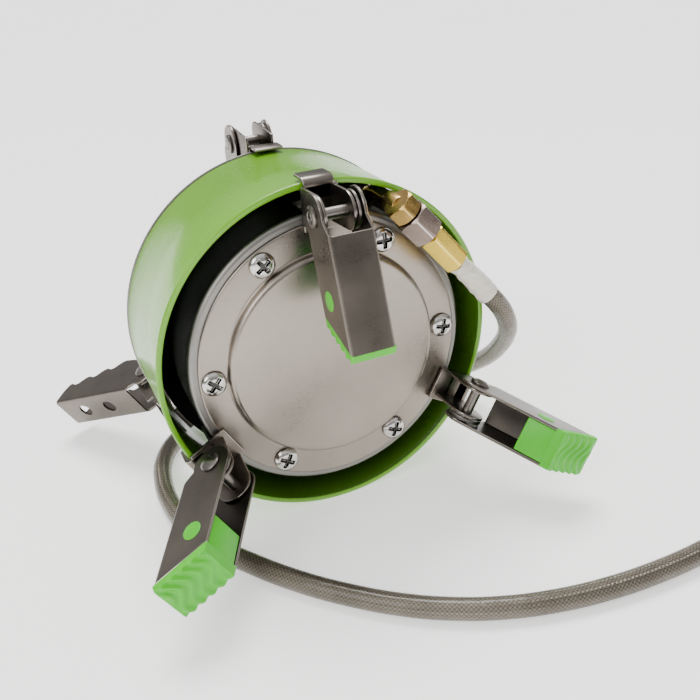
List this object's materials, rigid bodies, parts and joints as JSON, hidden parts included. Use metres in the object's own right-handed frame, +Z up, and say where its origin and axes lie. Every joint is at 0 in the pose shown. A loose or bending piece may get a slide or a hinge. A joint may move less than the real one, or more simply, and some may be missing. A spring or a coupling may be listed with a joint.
{
  "type": "camping stove",
  "caption": "Folding camping stove: round windscreen and burner on swing-out legs with pot supports, braided gas hose and a remote canister valve.",
  "frame": {"origin": "on the floor under the middle of the stove itself, hose and valve left out", "axes": "the stove lies on its side as it is put down half unfolded: +Z up, its base looks along -Y and its pot side along +Y; turn it about X so that -Y points down to stand it on its feet"},
  "size_m": [0.2803, 0.1666, 0.1065],
  "materials": {
    "green_paint": "high-gloss lime green enamel on pressed steel",
    "green_nylon": "moulded green nylon, ribbed sole",
    "satin_steel": "satin, warm grey, fine brushing",
    "dark_steel": "dark folded sheet with bright cut edges",
    "flame_steel": "heat-darkened burner steel",
    "bright_steel": "bright plated",
    "brass": "turned brass, lightly marked",
    "nickel": "dull nickel plate",
    "braid": "woven stainless wire braid",
    "sleeve": "crimped ferrule under a clear pale film",
    "aluminium": "machined",
    "rubber": "matt black"
  },
  "bodies": {
    "stove": {"windscreen_drum": "green_paint", "top_trim_ring": "satin_steel", "burner_pan": "satin_steel", "base_cover": "satin_steel", "base_screw_1": "bright_steel", "base_screw_2": "bright_steel", "base_screw_3": "bright_steel", "base_screw_4": "bright_steel", "base_screw_5": "bright_steel", "base_screw_6": "bright_steel", "burner_plate": "flame_steel", "flame_mesh": "flame_steel", "burner_cap": "satin_steel", "burner_cap_screw": "bright_steel", "inlet_pipe": "brass", "jet_holder": "brass", "gas_jet": "brass", "mixing_tube": "satin_steel", "leg_bracket_a": "dark_steel", "support_bracket_a": "dark_steel", "leg_pin_a": "bright_steel", "leg_spring_a": "bright_steel", "support_pin_a": "bright_steel", "support_spring_a": "bright_steel", "leg_bracket_b": "dark_steel", "support_bracket_b": "dark_steel", "leg_pin_b": "bright_steel", "leg_spring_b": "bright_steel", "support_pin_b": "bright_steel", "support_spring_b": "bright_steel", "leg_bracket_c": "dark_steel", "support_bracket_c": "dark_steel", "leg_pin_c": "bright_steel", "leg_spring_c": "bright_steel", "support_pin_c": "bright_steel", "support_spring_c": "bright_steel", "inlet_elbow": "brass", "inlet_nut": "nickel", "hose_connector": "brass", "hose_crimp_sleeve": "sleeve", "gas_hose": "braid", "valve_crimp_sleeve": "sleeve", "valve_nut": "brass", "valve_body": "brass", "canister_collar": "aluminium", "canister_socket": "brass", "canister_seal": "rubber"},
    "leg_a": {"leg_channel_a": "dark_steel", "leg_foot_a": "green_nylon"},
    "support_a": {"pot_support_a": "dark_steel"},
    "leg_b": {"leg_channel_b": "dark_steel", "leg_foot_b": "green_nylon"},
    "support_b": {"pot_support_b": "dark_steel"},
    "leg_c": {"leg_channel_c": "dark_steel", "leg_foot_c": "green_nylon"},
    "support_c": {"pot_support_c": "dark_steel"},
    "knob": {"valve_stem": "bright_steel", "control_knob": "aluminium"},
    "handle": {"control_handle": "bright_steel"}
  },
  "joints": [
    {"name": "leg_a_fold", "type": "hinge", "parent": "stove", "child": "leg_a", "pos_m": [0.00392, -0.0364, 0.0954], "axis": [1, 0, 0], "range_deg": [-110.8, 9.2]},
    {"name": "leg_b_fold", "type": "hinge", "parent": "stove", "child": "leg_b", "pos_m": [-0.03497, -0.0364, 0.02805], "axis": [-0.5, 0, 0.866], "range_deg": [-3.4, 116.6]},
    {"name": "leg_c_fold", "type": "hinge", "parent": "stove", "child": "leg_c", "pos_m": [0.04281, -0.0364, 0.02805], "axis": [-0.5, 0, -0.866], "range_deg": [-0.5, 124]},
    {"name": "support_a_fold", "type": "hinge", "parent": "stove", "child": "support_a", "pos_m": [0.00392, 0.034, 0.1006], "axis": [-1, 0, 0], "range_deg": [-161, 2]},
    {"name": "support_b_fold", "type": "hinge", "parent": "stove", "child": "support_b", "pos_m": [-0.03947, 0.034, 0.02545], "axis": [0.5, 0, -0.866], "range_deg": [-34.9, 128.1]},
    {"name": "support_c_fold", "type": "hinge", "parent": "stove", "child": "support_c", "pos_m": [0.04731, 0.034, 0.02545], "axis": [0.5, 0, 0.866], "range_deg": [-161, 2]},
    {"name": "knob_turn", "type": "hinge", "parent": "stove", "child": "knob", "pos_m": [0.18592, -0.02409, 0.0175], "axis": [0.6428, 0.766, 0], "range_deg": [-180, 180]},
    {"name": "handle_fold", "type": "hinge", "parent": "knob", "child": "handle", "pos_m": [0.18945, -0.01987, 0.0175], "axis": [-0.766, 0.6428, 0], "range_deg": [-95, 0]}
  ]
}
